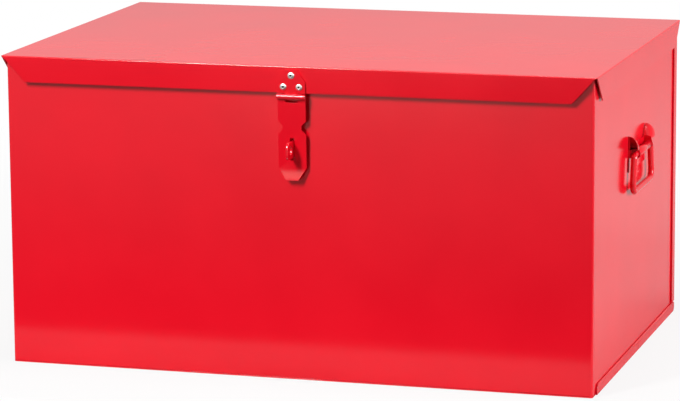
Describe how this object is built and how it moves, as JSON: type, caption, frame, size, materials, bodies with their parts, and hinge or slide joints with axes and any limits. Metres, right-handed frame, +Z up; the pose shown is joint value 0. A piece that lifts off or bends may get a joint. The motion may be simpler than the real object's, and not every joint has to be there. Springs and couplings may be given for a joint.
{
  "type": "jobsite tool chest",
  "caption": "Low rectangular sheet-steel chest with a hinged overhanging lid, a padlock hasp over a staple on the front, and a drop handle on each side",
  "frame": {"origin": "on the underside of the floor, below the middle of the box", "axes": "+X to the right side as seen from the front, +Y to the back, +Z up; the front with its hasp faces -Y"},
  "size_m": [0.7248, 0.5034, 0.367],
  "materials": {
    "red_powder_coat": "semi-gloss red powder coat",
    "rivet_alloy": "bare satin",
    "zinc_steel": "zinc plated"
  },
  "bodies": {
    "chest": {"front_and_sides": "red_powder_coat", "floor": "red_powder_coat", "back": "red_powder_coat", "left_floor_flange": "red_powder_coat", "left_back_flange": "red_powder_coat", "right_floor_flange": "red_powder_coat", "right_back_flange": "red_powder_coat", "staple": "red_powder_coat", "left_hinge_body_leaf": "red_powder_coat", "left_hinge_pin": "zinc_steel", "left_hinge_body_rivet_1": "rivet_alloy", "left_hinge_body_rivet_2": "rivet_alloy", "right_hinge_body_leaf": "red_powder_coat", "right_hinge_pin": "zinc_steel", "right_hinge_body_rivet_1": "rivet_alloy", "right_hinge_body_rivet_2": "rivet_alloy", "left_handle_bracket": "red_powder_coat", "right_handle_bracket": "red_powder_coat"},
    "lid": {"lid": "red_powder_coat", "left_hinge_lid_leaf": "red_powder_coat", "left_hinge_lid_rivet_1": "rivet_alloy", "left_hinge_lid_rivet_2": "rivet_alloy", "right_hinge_lid_leaf": "red_powder_coat", "right_hinge_lid_rivet_1": "rivet_alloy", "right_hinge_lid_rivet_2": "rivet_alloy", "hasp_leaf": "red_powder_coat", "hasp_pin": "zinc_steel", "hasp_rivet_1": "rivet_alloy", "hasp_rivet_2": "rivet_alloy", "hasp_rivet_3": "rivet_alloy"},
    "hasp": {"hasp_arm": "red_powder_coat"},
    "left_bail": {"left_bail": "red_powder_coat", "left_bail_sleeve": "red_powder_coat"},
    "right_bail": {"right_bail": "red_powder_coat", "right_bail_sleeve": "red_powder_coat"}
  },
  "joints": [
    {"name": "lid_hinge", "type": "hinge", "parent": "chest", "child": "lid", "pos_m": [0, 0.238, 0.3337], "axis": [-1, 0, 0], "range_deg": [0, 100]},
    {"name": "hasp_swing", "type": "hinge", "parent": "lid", "child": "hasp", "pos_m": [0, -0.2431, 0.33251], "axis": [-1, 0, 0], "range_deg": [0, 150]},
    {"name": "right_bail_swing", "type": "hinge", "parent": "chest", "child": "right_bail", "pos_m": [0.357, 0, 0.2462], "axis": [0, -1, 0], "range_deg": [0, 90]},
    {"name": "left_bail_swing", "type": "hinge", "parent": "chest", "child": "left_bail", "pos_m": [-0.357, 0, 0.2462], "axis": [0, 1, 0], "range_deg": [0, 90]}
  ]
}
